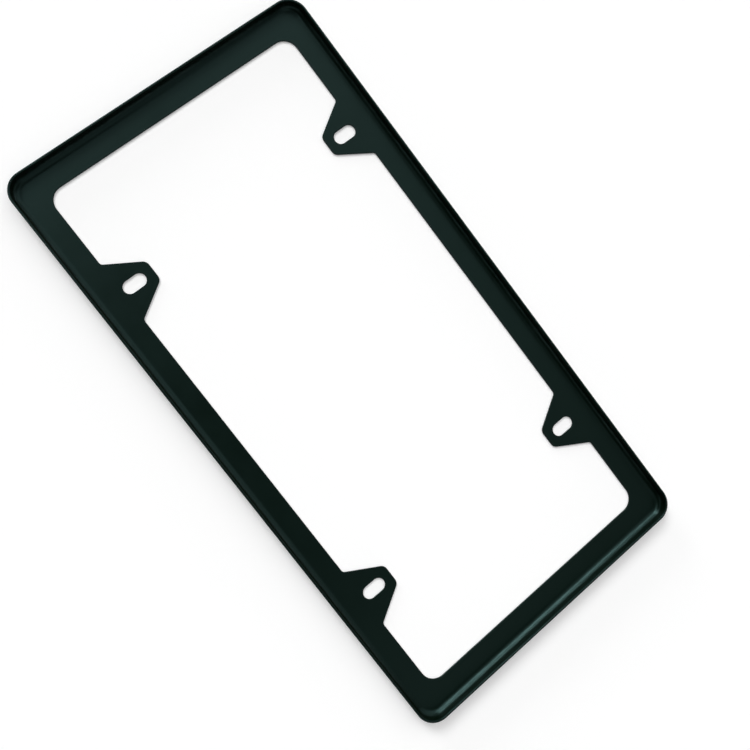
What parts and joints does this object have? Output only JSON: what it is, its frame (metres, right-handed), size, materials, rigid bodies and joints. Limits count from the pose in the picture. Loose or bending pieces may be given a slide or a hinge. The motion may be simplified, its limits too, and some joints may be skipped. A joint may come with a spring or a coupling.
{
  "type": "number plate holder",
  "caption": "Slim black pressed-metal frame for a US-size number plate, with an upturned lip all round, a large window and slotted screw tabs.",
  "frame": {"origin": "middle of the front face, which lies on the surface that the frame rests on", "axes": "+X across the plate, +Y along the plate, +Z from the front face towards the hollow side, the plate and the vehicle"},
  "size_m": [0.16, 0.3108, 0.007],
  "materials": {
    "black_coat": "satin black powder coat"
  },
  "bodies": {
    "root": {"plate_frame": "black_coat"}
  },
  "joints": []
}
